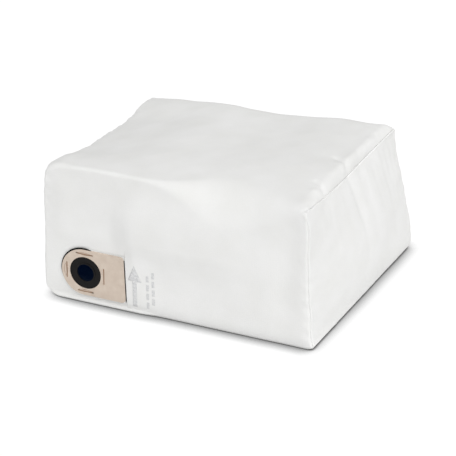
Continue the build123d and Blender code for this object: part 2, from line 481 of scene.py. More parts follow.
@dataclass(frozen=True)
class Paper:
    """Seamless white paper, glowing evenly as if lit from behind, with a painted contact shadow: the glow is
    dimmed by ambient occlusion where the bag stands close.
    """
    name: str = "backlit_studio_paper"
    low: str = "#FDFDFD"
    high: str = "#FFFFFF"
    cloud: float = 400.0            # a sheet of this size is never quite one white
    glow: float = 1.06              # strength in the open
    dark: float = 0.13              # strength of the glow in the painted shadow, where the bag touches the paper
    reach: float = 32.0             # how far the painted contact shadow spreads, in millimetres
    open_sky: tuple = (0.5, 0.98)   # share of open sky at which the shadow is full, and at which it ends
    leans: tuple = (-1.1, 0.5)      # the occlusion is looked up with normals leant left and right, so the painted shadow is thin at the ends

    def make(self) -> bpy.types.Material:
        """Builds the material.

        Returns:
            The material.
        """
        material, tree, place = start_material(self.name)
        sides = [add_node(tree, "AmbientOcclusion", {
            "Distance": self.reach * MM,
            "Normal": add_node(tree, "CombineXYZ", {"X": lean, "Z": 1.0}).outputs[0]}, samples=16).outputs["AO"]
            for lean in self.leans]
        shade = add_node(tree, "Math", {0: sides[0], 1: sides[1]}, operation="MAXIMUM")
        grain = mottle(tree, place, self.cloud, self.low, self.high)
        # painted shadow: the paper's glow falls with the ambient occlusion
        strength = add_node(tree, "MapRange", {
            "Value": shade.outputs[0], "From Min": self.open_sky[0], "From Max": self.open_sky[1],
            "To Min": self.dark, "To Max": self.glow})
        shine = add_node(tree, "Emission", {"Color": grain, "Strength": strength.outputs[0]})
        add_node(tree, "OutputMaterial", {"Surface": shine.outputs[0]})
        return material


# ---------------------------------------------------------------- the bag's shape

class Side(Enum):
    """The four faces that the wrap makes, in the order that the cloth runs."""
    FRONT = 0
    TOP = 1
    BACK = 2
    BASE = 3


@dataclass(frozen=True)
class Fold:
    """A soft ridge, or with a negative rise a valley, along a line between two points in millimetres."""
    start: tuple
    end: tuple
    width: float
    rise: float

    def lift(self, points: np.ndarray) -> np.ndarray:
        """How far the fold lifts each point: rise times exp(-(distance / width)^2) from the line.

        Args:
            points: array ending in x, y, z, in millimetres.

        Returns:
            The lift of each point in millimetres.
        """
        a, b = np.array(self.start, float), np.array(self.end, float)
        along = b - a
        f = np.clip((points - a) @ along / max(along @ along, 1e-9), 0, 1)
        gap = np.linalg.norm(points - a - f[..., None] * along, axis=-1)
        return self.rise * np.exp(-((gap / self.width) ** 2))


@dataclass(frozen=True)
class Zone:
    """A soft-edged region of the bag: each pair is a span over which it fades in or out. Millimetres."""
    x_in: tuple = ()
    x_out: tuple = ()
    y_out: tuple = ()
    z_in: tuple = ()
    z_out: tuple = ()

    def weight(self, points: np.ndarray) -> np.ndarray:
        """1 in the zone and 0 away from it: the product of one smooth step for each span that it has.

        Args:
            points: array ending in x, y, z, in millimetres.

        Returns:
            The weight of each point.
        """
        total = np.ones(points.shape[:-1])
        for axis, start, end in ((0, self.x_in, self.x_out), (1, (), self.y_out), (2, self.z_in, self.z_out)):
            if start:
                total = total * ease(points[..., axis], *start)
            if end:
                total = total * fade(points[..., axis], *end)
        return total


FOLDS = (
    # broad waves of the front and the top
    Fold((70, -220, 180), (120, -220, 110), 70, 4.0),
    Fold((208, -220, 210), (196, -220, 80), 26, -4.5),
    Fold((90, -110, 251), (215, -110, 250), 95, 6.0),
    Fold((-20, -220, 48), (190, -220, 44), 30, -1.6),
    Fold((-215, -220, 200), (-222, -220, 130), 20, 2.0),
    Fold((221, 0, 248), (221, 95, 250), 15, 3.0),
    # puckers of the top where the right seam gathers it
    Fold((224, -20, 248), (196, -6, 252), 6, -3.2),
    Fold((222, -34, 248), (208, -24, 250), 6, 2.2),
    Fold((222, -126, 250), (206, -114, 251), 6, -3.2),
    Fold((222, -141, 250), (212, -146, 251), 5, 1.8),
    # pinches at the upper right corner of the front
    Fold((226, -214, 250), (231, -205, 250), 3.2, -2.2),
    Fold((231, -220, 247), (226, -220, 240), 3.2, -2.0),
)
END_FOLDS = (
    # puckers of the right end, just below its top seam
    Fold((237, -62, 226), (237, -32, 226), 7, -2.2),
    Fold((240, 20, 204), (241, 38, 184), 8, -1.6),
    Fold((236, -132, 231), (236, -108, 232), 6, -1.6),
)
# In turn: the board of the inlet holds the front flat, the front bulges above it, the right seam draws the
# front in, the cloth stands up beside the board's end, and the foot of the front comes out.
BOARD = Zone(x_out=(-101, -80), y_out=(-200, -180), z_out=(104, 128))
SHELF = Zone(x_in=(-130, -78), x_out=(-60, 220), y_out=(-215, -170), z_in=(92, 140), z_out=(150, 250))
SHOULDER = Zone(y_out=(-214, -195), z_out=(222, 244))
COLLAR = Zone(x_out=(-90, -25), y_out=(-215, -200), z_in=(4, 16), z_out=(94, 122))
TOE = Zone(x_out=(-75, -30), y_out=(-214, -190), z_out=(2, 10))


BOARD_END = -99.5                    # X of the middle of the board's cut end
BOARD_MIDDLE = 58.0                  # height of that middle
BOARD_HALF = 43.0                    # half of the end's height
BOARD_SKEW = 1.6                     # how far the end leans over that half


def board_end(z: np.ndarray) -> np.ndarray:
    """X of the inlet board's end at height z: a straight line, cut a little askew."""
    return BOARD_END - BOARD_SKEW * (z - BOARD_MIDDLE) / BOARD_HALF


@dataclass(frozen=True)
class BagShape:
    """The blown-up bag as a surface: u runs along its length, t along each side of the wrap. Millimetres."""
    front: float = -220.0
    back_base: float = 220.0
    back_top: float = 188.0
    length: float = 490.0            # mean length, which turns a step of u into millimetres
    seam_roll: float = 3.2           # radius of the roll along the upright end seams
    top_seam_roll: float = 1.5       # the same along the top, where the cloth is drawn tight
    top_seam: tuple = (212, 240)     # heights between which the one becomes the other
    base_radius: float = 4.0
    back_base_radius: float = 12.0
    left_foot: float = 13.0          # how far the base curls up at the left end, and at the right
    right_foot: float = 3.0
    wall_swell: float = 4.0          # how far the air pushes out the front and the top
    back_swell: float = 12.0
    left_slack: float = 12.0         # how far the top hangs at its left end, and at its right
    right_slack: float = 17.0
    ripples: tuple = ((0.5, 150, 3), (0.3, 55, 5))       # height, wavelength and seed of the unevenness
    pucker: tuple = (0.8, 20, 8)     # the same for the puckers that the end seams pull
    pucker_reach: float = 14.0
    shelf_lift: float = 12.0         # a bulge of the front above the board and to its right
    shoulder_sink: float = 2.3       # how far the front is drawn in beside the right seam
    shoulder_width: float = 17.0
    ground: tuple = (0, 28)          # below this the base holds the walls straight
    collar_lift: float = 3.6         # how far the cloth stands up beside the board's cut end
    collar_rise: tuple = (0.5, 2.9)  # where it rises, from the board's end
    toe_push: float = 4.0            # how far the foot of the front comes out under the board

    def left_end(self, z: np.ndarray) -> np.ndarray:
        """X of the left seam at height z."""
        return through(z, [0, 20, 64, 122, 210, 232, 252], [-254, -255.5, -255.5, -253.4, -252, -249.3, -244])

    def right_end(self, y: np.ndarray, z: np.ndarray) -> np.ndarray:
        """X of the right seam: hollow at the front, bowed at the back, mixed along Y.

        Args:
            y: depth of each place in millimetres.
            z: its height.

        Returns:
            The seam's X in millimetres.
        """
        front = through(z, [0, 14, 55, 103, 171, 228, 250], [249, 244.5, 241, 237, 234.5, 234, 229])
        back = through(z, [0, 30, 64, 90, 125, 158, 190, 230], [254, 255, 252, 248, 243, 238, 231.5, 228])
        mix = np.clip((y - self.front) / (self.back_base - self.front), 0, 1)
        return front * (1 - mix) + back * mix

    def front_height(self, u: np.ndarray) -> np.ndarray:
        """Height of the front top edge: level, and rounded off at the left end."""
        return through(u, [0.0, 0.012, 0.035, 0.08, 0.9, 1.0], [243, 247.5, 251, 252, 251.5, 251])

    def back_height(self, u: np.ndarray) -> np.ndarray:
        """Height of the rear top edge: low at the left, full at the right, with an ear at the very end.

        Args:
            u: places along the bag, 0 to 1.

        Returns:
            Heights in millimetres.
        """
        places = [0.0, 0.10, 0.20, 0.30, 0.37, 0.43, 0.50, 0.565, 0.63, 0.70, 0.765, 0.83, 0.89, 0.948, 0.98,
                  1.0]
        values = [214, 225, 231.5, 238, 240, 239.5, 239, 239, 241, 244, 248, 251, 252.5, 252.5, 250, 240]
        return through(u, places, values)

    def corners(self, u: np.ndarray) -> list:
        """Corner points (y, z) of the cross-section at each u.

        Args:
            u: places along the bag, 0 to 1.

        Returns:
            One array for each corner, in the order of the sides.
        """
        one = np.ones_like(u)
        foot = self.left_foot * np.clip(1 - u / 0.06, 0, 1) ** 2 + self.right_foot * ease(u, 0.975, 1.0)
        return [np.stack(pair, -1) for pair in (
            (self.front * one, foot), (self.front * one, self.front_height(u)),
            (self.back_top * one, self.back_height(u)), (self.back_base * one, foot))]

    def radii(self, u: np.ndarray) -> list:
        """Radius rolled at each corner: crisp at the seams, soft in between.

        Args:
            u: places along the bag, 0 to 1.

        Returns:
            One array for each corner, in the order of the sides.
        """
        front_top = through(u, [0.0, 0.1, 0.3, 0.42, 0.52, 0.62, 0.8, 0.92, 1.0],
                            [13, 7, 7, 9, 24, 54, 54, 28, 6])
        back_top = through(u, [0.0, 0.05, 0.15, 0.5, 0.8, 0.95, 0.98, 1.0], [4, 16, 30, 46, 34, 34, 24, 5])
        return [self.base_radius + 0 * u, front_top, back_top, self.back_base_radius + 0 * u]

    def plain(self, u: np.ndarray, side: Side, t: np.ndarray) -> np.ndarray:
        """Plain shape: straight sides joined by arcs, each side run from mid-arc to mid-arc.

        Args:
            u: places along the bag, 0 to 1.
            side: which side of the wrap.
            t: places along the side, 0 to 1, in the same shape as u.

        Returns:
            Points in millimetres.
        """
        k, after = side.value, (side.value + 1) % 4
        corner, radius = self.corners(u), self.radii(u)
        ways = [unit(corner[(j + 1) % 4] - corner[j]) for j in range(4)]
        half = [np.arccos(np.clip((ways[j - 1] * ways[j]).sum(-1), -1, 1)) / 2 for j in range(4)]
        r0, r1, way = radius[k], radius[after], ways[k]
        inward = np.stack([way[..., 1], -way[..., 0]], -1)
        length = np.linalg.norm(corner[after] - corner[k], axis=-1)
        cut0, cut1 = r0 * np.tan(half[k]), r1 * np.tan(half[after])
        arc0, arc1 = r0 * half[k], r1 * half[after]
        straight = length - cut0 - cut1
        s = t * (arc0 + straight + arc1)
        before = np.clip(arc0 - s, 0, None) / r0
        past = np.clip(s - arc0 - straight, 0, None) / r1
        along = cut0 + np.clip(s - arc0, 0, straight) - r0 * np.sin(before) + r1 * np.sin(past)
        sink = r0 * (1 - np.cos(before)) + r1 * (1 - np.cos(past))
        yz = corner[k] + along[..., None] * way + sink[..., None] * inward
        y, z = yz[..., 0], yz[..., 1]
        low = self.left_end(z)
        return np.stack([low + u * (self.right_end(y, z) - low), y, z], -1)

    def outward(self, u: np.ndarray, side: Side, t: np.ndarray) -> np.ndarray:
        """Outward normals: the cross product of the steps along u and t, taken over a short stretch h.

        Args:
            u: places along the bag, 0 to 1.
            side: which side of the wrap.
            t: places along the side, 0 to 1, in the same shape as u.

        Returns:
            Unit vectors.
        """
        h = 0.004
        along = self.plain(np.minimum(u + h, 1), side, t) - self.plain(np.maximum(u - h, 0), side, t)
        around = self.plain(u, side, np.minimum(t + h, 1)) - self.plain(u, side, np.maximum(t - h, 0))
        return unit(np.cross(along, around))

    def swell(self, u: np.ndarray, side: Side, t: np.ndarray) -> np.ndarray:
        """How far each side swells outward: as a sine along and across, and the top hangs at both ends.

        At the left the top sinks over nearly half of its length. At the right it sinks as a square, within
        the last few percent.

        Args:
            u: places along the bag, 0 to 1.
            side: which side of the wrap.
            t: places along the side, 0 to 1, in the same shape as u.

        Returns:
            The swell in millimetres.
        """
        middle = np.sin(np.pi * np.clip(u, 0, 1)) ** 0.8
        span = np.sin(np.pi * np.clip(t, 0, 1))
        if side is Side.TOP:
            left = fade(u, 0.0, 0.42) * ease(t, 0.05, 0.40) * fade(t, 0.70, 0.95)
            start = 0.963 + 0.009 * ease(t, 0.4, 0.8)
            rear = 1 - 0.45 * ease(t, 0.45, 0.95)
            right = np.clip((u - start) / (1 - start), 0, 1) ** 2 * span ** 0.7 * rear
            return self.wall_swell * middle * span - self.left_slack * left - self.right_slack * right
        if side is Side.FRONT:
            return self.wall_swell * middle * span ** 2
        if side is Side.BACK:
            return self.back_swell * middle * span
        return 0.0 * u

    def surface(self, u: np.ndarray, side: Side, t: np.ndarray) -> tuple:
        """The wrap's outer face: the plain shape moved along its normals by swell, folds and unevenness.

        The board of the inlet holds a patch of the front flat, the cloth stands up along its cut end and
        bulges above it, and near both seams it rolls in along a quarter circle of the seam's radius.

        Args:
            u: places along the bag, 0 to 1.
            side: which side of the wrap.
            t: places along the side, 0 to 1, in the same shape as u.

        Returns:
            Points and outward normals, the points in metres.
        """
        base = self.plain(u, side, t)
        out = self.outward(u, side, t)
        x, z = base[..., 0], base[..., 2]
        lift = self.swell(u, side, t) + sum(fold.lift(base) for fold in FOLDS)
        for height, wavelength, seed in self.ripples:
            lift = lift + height * ripple(base, wavelength, seed)
        from_seam = np.minimum(u, 1 - u) * self.length
        height, wavelength, seed = self.pucker
        near = np.exp(-((from_seam / self.pucker_reach) ** 2))
        lift = lift + height * ripple(base, wavelength, seed) * near
        lift = lift + self.shelf_lift * SHELF.weight(base)
        at_right = np.clip(1 - (1 - u) * self.length / self.shoulder_width, 0, 1) ** 2
        lift = lift - self.shoulder_sink * at_right * SHOULDER.weight(base)
        lift = lift * ease(z, *self.ground) * (1 - BOARD.weight(base))
        past_board = ease(x - board_end(z), *self.collar_rise)
        lift = lift + self.collar_lift * past_board * COLLAR.weight(base)
        roll = self.seam_roll + (self.top_seam_roll - self.seam_roll) * ease(z, *self.top_seam)
        dip = roll - np.sqrt(np.clip(roll ** 2 - np.clip(roll - from_seam, 0, None) ** 2, 0, None))
        points = base + out * (lift - dip)[..., None]
        points[..., 1] -= self.toe_push * TOE.weight(base)
        points[..., 2] = np.maximum(points[..., 2], 0.0)
        return points * MM, out


@dataclass
class WrapGrid:
    """The wrap sampled on one grid, rows along the bag and columns round it, crowded near seams and corners."""
    shape: BagShape
    step: float = 4.6                # spacing in the middle of a run, in millimetres
    near: tuple = (0.0, 0.35, 1.0, 1.9, 3.0, 4.6, 7.0, 10.0, 13.8)       # spacing from each of its ends
    lengths: tuple = (245.0, 405.0, 245.0, 405.0)                        # round front, top, back and base
    collar: tuple = (0.306, 0.334, 20)      # finer rows where the cloth rises beside the inlet board

    def places(self, length: float) -> np.ndarray:
        """Places along a run, crowded at both of its ends.

        Args:
            length: the run's length in millimetres.

        Returns:
            Rising places from 0 to 1.
        """
        near = np.array(self.near)
        middle = np.linspace(near[-1], length - near[-1], int((length - 2 * near[-1]) / self.step))
        return np.concatenate([near[:-1], middle, (length - near[:-1])[::-1]]) / length

    def rows(self) -> np.ndarray:
        """Places along the bag, with the finer ones beside the board.

        Returns:
            Rising places from 0 to 1.
        """
        low, high, count = self.collar
        plain = self.places(self.shape.length)
        return np.concatenate([plain[plain < low], np.linspace(low, high, count), plain[plain > high]])

    def side(self, side: Side) -> tuple:
        """One side of the wrap, both of its corners included.

        Args:
            side: which side.

        Returns:
            Points in metres and outward normals, rows along the bag.
        """
        u, t = np.meshgrid(self.rows(), self.places(self.lengths[side.value]), indexing="ij")
        return self.shape.surface(u, side, t)

    def whole(self) -> tuple:
        """The whole wrap, with each corner's column once.

        Returns:
            Points in metres and outward normals, rows along the bag and columns round it.
        """
        parts = [self.side(side) for side in Side]
        return tuple(np.concatenate([part[i][:, :-1] for part in parts], axis=1) for i in (0, 1))


# ---------------------------------------------------------------- the bag's pieces

@dataclass(frozen=True)
class Ply:
    """One inner layer of the cloth. Millimetres."""
    name: str
    depth: float                     # how far inside the cloth's outer face it starts
    thickness: float
    slot: str                        # the record's material slot
    finish: Scrim | Wadding


PLIES = (Ply("filter", 1.4, 1.0, "filter_wadding", Wadding()), Ply("scrim", 2.6, 0.8, "scrim_net", Scrim()))


@dataclass
class Wrap:
    """The one long piece of fleece that makes front, top, back and base, with the inlet's hole and the lap."""
    grid: WrapGrid
    bore: tuple                      # x and z of the inlet's axis, in metres
    hole: float = 31.0               # radius of the hole, in millimetres
    hole_depth: float = -0.15        # only cloth in front of this Y is cut, in metres
    fleece: float = 1.2
    half_length: float = 250.0       # scales the inner plies down to fit between the ends
    lap_places: tuple = (0.795, 0.812, 0.835, 0.852)
    lap_thickness: float = 1.2
    lap_lift: float = 0.05
    lap_margin: int = 3              # rows left free at either end of the lap

    def pierce(self, points: np.ndarray, faces: np.ndarray) -> tuple:
        """Cuts the inlet's hole: drops the faces inside it and draws its ragged rim out to the circle.

        Args:
            points: grid points, in metres.
            faces: quads by point index.

        Returns:
            The moved points, flat, and the faces that are left.
        """
        points = points.reshape(-1, 3).copy()
        away = points[:, [0, 2]] - np.array(self.bore)
        far = np.linalg.norm(away, axis=1)
        middle = np.linalg.norm(away[faces].mean(axis=1), axis=1)
        inside = (middle < self.hole * MM) & (points[faces, 1].mean(axis=1) < self.hole_depth)
        rim = np.intersect1d(faces[inside], faces[~inside])
        points[np.ix_(rim, [0, 2])] = np.array(self.bore) + away[rim] * (self.hole * MM / far[rim])[:, None]
        return points, faces[~inside]

    def build(self, finish: bpy.types.Material) -> bpy.types.Object:
        """Builds the outer fleece.

        Args:
            finish: its material.

        Returns:
            The piece.
        """
        points, _ = self.grid.whole()
        faces = grid_faces(points.shape[0], points.shape[1], closed=True)
        piece = make_piece("bag_wrap", *self.pierce(points, faces))
        thicken(piece, self.fleece)
        finish_piece(piece, finish)
        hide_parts("front_panel", "top_panel", "back_panel", "bottom_panel")
        return piece

    def build_lining(self, ply: Ply, finish: bpy.types.Material) -> bpy.types.Object:
        """Builds an inner ply: the wrap moved inward along its normals, on every second row and column.

        Args:
            ply: the layer.
            finish: its material.

        Returns:
            The piece.
        """
        points, out = self.grid.whole()
        points = (points - out * ply.depth * MM)[::2, ::2]
        points[..., 0] *= 1 - ply.depth / self.half_length
        points[..., 2] = np.maximum(points[..., 2], ply.depth * MM)
        faces = grid_faces(points.shape[0], points.shape[1], closed=True)
        piece = make_piece(f"{ply.name}_wrap", *self.pierce(points, faces))
        thicken(piece, ply.thickness)
        finish_piece(piece, finish)
        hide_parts(f"{ply.name}_wrap_ply")
        return piece

    def build_lap(self, finish: bpy.types.Material) -> bpy.types.Object:
        """Builds the welded lap that closes the wrap low on the back: a strip that follows the back.

        Args:
            finish: its material.

        Returns:
            The piece.
        """
        rows = self.grid.rows()[self.lap_margin:-self.lap_margin]
        u, t = np.meshgrid(rows, np.array(self.lap_places), indexing="ij")
        points, out = self.grid.shape.surface(u, Side.BACK, t)
        points = points + out * self.lap_lift * MM
        piece = make_piece("closing_lap", points, grid_faces(*u.shape))
        thicken(piece, self.lap_thickness, side=1.0)
        finish_piece(piece, finish)
        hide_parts("closing_seam")
        return piece


class End(Enum):
    """The two ends of the bag: the row of the wrap's grid that each closes, and its outward direction."""
    LEFT = (0, -1.0)
    RIGHT = (-1, 1.0)


@dataclass
class EndPanel:
    """A closed end: a sheet hung on the wrap's edge, pillowed out between its seams."""
    grid: WrapGrid
    end: End
    pillow: float
    rolls: tuple = (1.8, 3.2)        # radii of the seam roll, at base and top and at front and back
    roll_height: float = 1.6
    ripples: tuple = ((0.9, 110, 11), (0.35, 42, 12))    # height, wavelength and seed of the unevenness
    pucker: tuple = (0.9, 19, 13)    # the same for the puckers that the seams pull
    pucker_reach: float = 14.0
    still_reach: float = 6.0         # the unevenness dies out this close to the seams
    thickness: float = 1.2
    half_width: float = 120.0        # scales the inner plies down to fit inside the wrap
    allowance: tuple = (0.6, 9.0)    # where the turned-in edges start and end, inward from the seam
    allowance_lean: tuple = (0.6, 0.8)      # how far they lean into the wrap, and along the bag
    allowance_thickness: float = 1.6

    def points(self) -> np.ndarray:
        """Sheet between the wrap's four edges (a Coons patch), pushed outward by a seam roll and a pillow.

        The seam roll is its height times q(s) q(t), where q rises along a quarter ellipse from 0 at a border.
        The pillow is its height times (sin pi s)^1.3 (sin pi t)^0.9. Folds, slow unevenness and the puckers
        of the seams are added to both.

        Returns:
            Points in metres, rows from base to top and columns from front to back.
        """
        row, way = self.end.value
        front, top, back, base = (self.grid.side(side)[0][row] for side in Side)
        back, base = back[::-1], base[::-1]
        height, depth = self.grid.lengths[:2]
        s, t = self.grid.places(height), self.grid.places(depth)
        u, v = s[:, None, None], t[None, :, None]
        patch = (1 - v) * front[:, None] + v * back[:, None] + (1 - u) * base[None] + u * top[None]
        patch = patch - ((1 - u) * (1 - v) * front[0] + u * (1 - v) * front[-1]
                         + (1 - u) * v * back[0] + u * v * back[-1])
        place = patch / MM
        from_seam = [np.minimum(s, 1 - s) * height, np.minimum(t, 1 - t) * depth]
        round_in = [np.sqrt(np.clip(1 - np.clip(1 - d / roll, 0, None) ** 2, 0, None))
                    for d, roll in zip(from_seam, self.rolls)]
        belly = np.outer(np.sin(np.pi * s) ** 1.3, np.sin(np.pi * t) ** 0.9)
        free = np.outer(*(1 - np.exp(-d / self.still_reach) for d in from_seam))
        near = np.exp(-np.minimum(from_seam[0][:, None], from_seam[1][None, :]) / self.pucker_reach)
        uneven = sum(rise * ripple(place, wavelength, seed) for rise, wavelength, seed in self.ripples)
        rise, wavelength, seed = self.pucker
        push = self.roll_height * np.outer(*round_in) + self.pillow * belly
        push = push + sum(fold.lift(place) for fold in END_FOLDS)
        push = push + free * (uneven + rise * near * ripple(place, wavelength, seed))
        patch[..., 0] += way * push * MM
        return patch

    def faces(self, points: np.ndarray) -> np.ndarray:
        """Quads of a grid of points on this end, turned to face away from the bag."""
        faces = grid_faces(*points.shape[:2])
        return faces if self.end is End.LEFT else faces[:, ::-1]

    def build(self, finish: bpy.types.Material) -> bpy.types.Object:
        """Builds the end's outer fleece.

        Args:
            finish: its material.

        Returns:
            The piece.
        """
        points, word = self.points(), self.end.name.lower()
        piece = make_piece(f"{word}_end", points, self.faces(points))
        thicken(piece, self.thickness)
        finish_piece(piece, finish)
        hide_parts(f"{word}_end_panel")
        return piece

    def build_lining(self, ply: Ply, finish: bpy.types.Material) -> bpy.types.Object:
        """Builds an inner ply of the end: the sheet moved inward and drawn in, on every second row and column.

        Args:
            ply: the layer.
            finish: its material.

        Returns:
            The piece.
        """
        points, word = self.points()[::2, ::2], self.end.name.lower()
        points[..., 0] -= self.end.value[1] * ply.depth * MM
        middle = points.mean(axis=(0, 1))
        points[..., 1:] = middle[1:] + (points[..., 1:] - middle[1:]) * (1 - ply.depth / self.half_width)
        piece = make_piece(f"{ply.name}_{word}_end", points, self.faces(points))
        thicken(piece, ply.thickness)
        finish_piece(piece, finish)
        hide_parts(f"{ply.name}_{word}_end_ply")
        return piece

    def build_allowance(self, finish: bpy.types.Material) -> bpy.types.Object:
        """Builds the seam allowance: the joined edges, turned into the bag all the way round the end.

        Args:
            finish: its material.

        Returns:
            The piece.
        """
        (row, way), word = self.end.value, self.end.name.lower()
        points, out = (part[row] for part in self.grid.whole())
        aside, along = self.allowance_lean
        inward = unit(-aside * out + np.array([-way * along, 0.0, 0.0]))
        reach = np.linspace(*self.allowance, 5)[:, None, None] * MM
        strip = points[None] + inward[None] * reach
        piece = make_piece(f"{word}_allowance", strip, grid_faces(*strip.shape[:2], closed=True))
        thicken(piece, self.allowance_thickness, side=0.0)
        finish_piece(piece, finish)
        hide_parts(f"{word}_end_seam")
        return piece


@dataclass(frozen=True)
class Bar:
    """One printed bar, or an arrow head where it tapers to a point: middle x and low z, in millimetres."""
    x: float
    z: float
    width: float
    height: float
    taper: float = 0.0


@dataclass
class FlowMark:
    """The faint printed mark beside the inlet: an arrow for the flow and two columns of dashes."""
    shape: BagShape
    proud: float = 0.2               # how far the ink's face stands off the fleece
    thickness: float = 0.15
    tip: float = 0.02                # share of its width that a tapered bar keeps at its point
    samples: int = 400               # places at which heights on the front are looked up
    guide: float = 0.35              # where along the bag that is done
    bars: tuple = (
        Bar(-80, 14, 8, 50), Bar(-80, 62, 26, 30, 1.0),
        Bar(-56, 14, 5, 12), Bar(-56, 31, 5, 12), Bar(-56, 48, 5, 12), Bar(-56, 65, 5, 12),
        Bar(-46, 22, 5, 12), Bar(-46, 39, 5, 12), Bar(-46, 56, 5, 12), Bar(-46, 73, 5, 12),
    )

    def build(self, finish: bpy.types.Material) -> bpy.types.Object:
        """Builds the mark: each bar is a small grid laid on the front of the wrap.

        Args:
            finish: the ink.

        Returns:
            The piece.
        """
        table = np.linspace(0, 1, self.samples)
        heights = self.shape.plain(np.full(self.samples, self.guide), Side.FRONT, table)[:, 2]
        a, b = np.meshgrid(np.linspace(-0.5, 0.5, 7), np.linspace(0, 1, 13), indexing="ij")
        points, faces = [], []
        for bar in self.bars:
            x = bar.x + a * bar.width * (1 - b * bar.taper * (1 - self.tip))
            z = bar.z + b * bar.height
            low = self.shape.left_end(z)
            u = (x - low) / (self.shape.right_end(self.shape.front + 0 * z, z) - low)
            place, out = self.shape.surface(u, Side.FRONT, np.interp(z, heights, table))
            faces.append(grid_faces(*a.shape) + len(points) * a.size)
            points.append(place + out * self.proud * MM)
        piece = make_piece("flow_mark", np.concatenate(points), np.concatenate(faces))
        thicken(piece, self.thickness)
        finish_piece(piece, finish)
        return piece


@dataclass(frozen=True)
class Crease:
    """One pressed line on the board, bowed like a bent twig. Millimetres from the inlet's axis."""
    start: tuple
    end: tuple
    bow: float
    width: float = 1.1

    def ribbon(self, a: np.ndarray, b: np.ndarray) -> np.ndarray:
        """The line as a ribbon: along its chord by a, bowed by 4 a (1 - a), widened by b and thin at its ends.

        Args:
            a: places along the line, 0 to 1.
            b: places across it, -0.5 to 0.5.

        Returns:
            Points (x, z) in millimetres.
        """
        start, end = np.array(self.start, float), np.array(self.end, float)
        along = unit(end - start)
        across = np.array([-along[1], along[0]])
        hump = 4 * a * (1 - a)
        off = self.bow * hump + b * self.width * (0.35 + 0.65 * hump)
        return start + a[..., None] * (end - start) + off[..., None] * across


@dataclass
class TabCreases:
    """Marks that bending the tabs left on the board's face: with the slots they make brown lens shapes, partly
    the board's cut edge and partly painted shade of the slits.
    """
    bore: tuple                      # x and z of the inlet's axis, in metres
    face: float                      # Y of the board's face, in metres
    proud: float = 0.05
    thickness: float = 0.1
    creases: tuple = (
        Crease((-38.2, 12.0), (-37.8, -13.0), 2.6, 0.9),
        Crease((-38.2, 12.0), (-37.8, -13.0), -2.4, 0.7),
        Crease((-16.8, 36.4), (13.4, 35.8), 2.2, 0.6),
        Crease((-16.8, 36.4), (13.4, 35.8), -1.8, 0.8),
        Crease((-15.5, -34.4), (14.8, -34.8), 2.4, 0.7),
    )
    nicks: tuple = (                 # painted shade: dark ends of the upper and the lower mark, where the slit gapes
        Crease((-17.6, 36.0), (-14.6, 36.6), 0.0, 2.0),
        Crease((12.0, -35.6), (15.4, -35.2), 0.0, 2.0),
    )

    def build(self, name: str, lines: tuple, finish: bpy.types.Material) -> bpy.types.Object:
        """Builds some of the lines as one thin inlay in the board's face.

        Args:
            name: the piece's name.
            lines: the creases or the nicks.
            finish: the inlay's material.

        Returns:
            The piece.
        """
        a, b = np.meshgrid(np.linspace(0, 1, 25), np.linspace(-0.5, 0.5, 3), indexing="ij")
        points, faces = [], []
        for crease in lines:
            xz = crease.ribbon(a, b) * MM + np.array(self.bore)
            faces.append(grid_faces(*a.shape)[:, ::-1] + len(points) * a.size)
            y = np.full(a.shape, self.face - self.proud * MM)
            points.append(np.stack([xz[..., 0], y, xz[..., 1]], -1))
        piece = make_piece(name, np.concatenate(points), np.concatenate(faces))
        thicken(piece, self.thickness)
        finish_piece(piece, finish)
        return piece


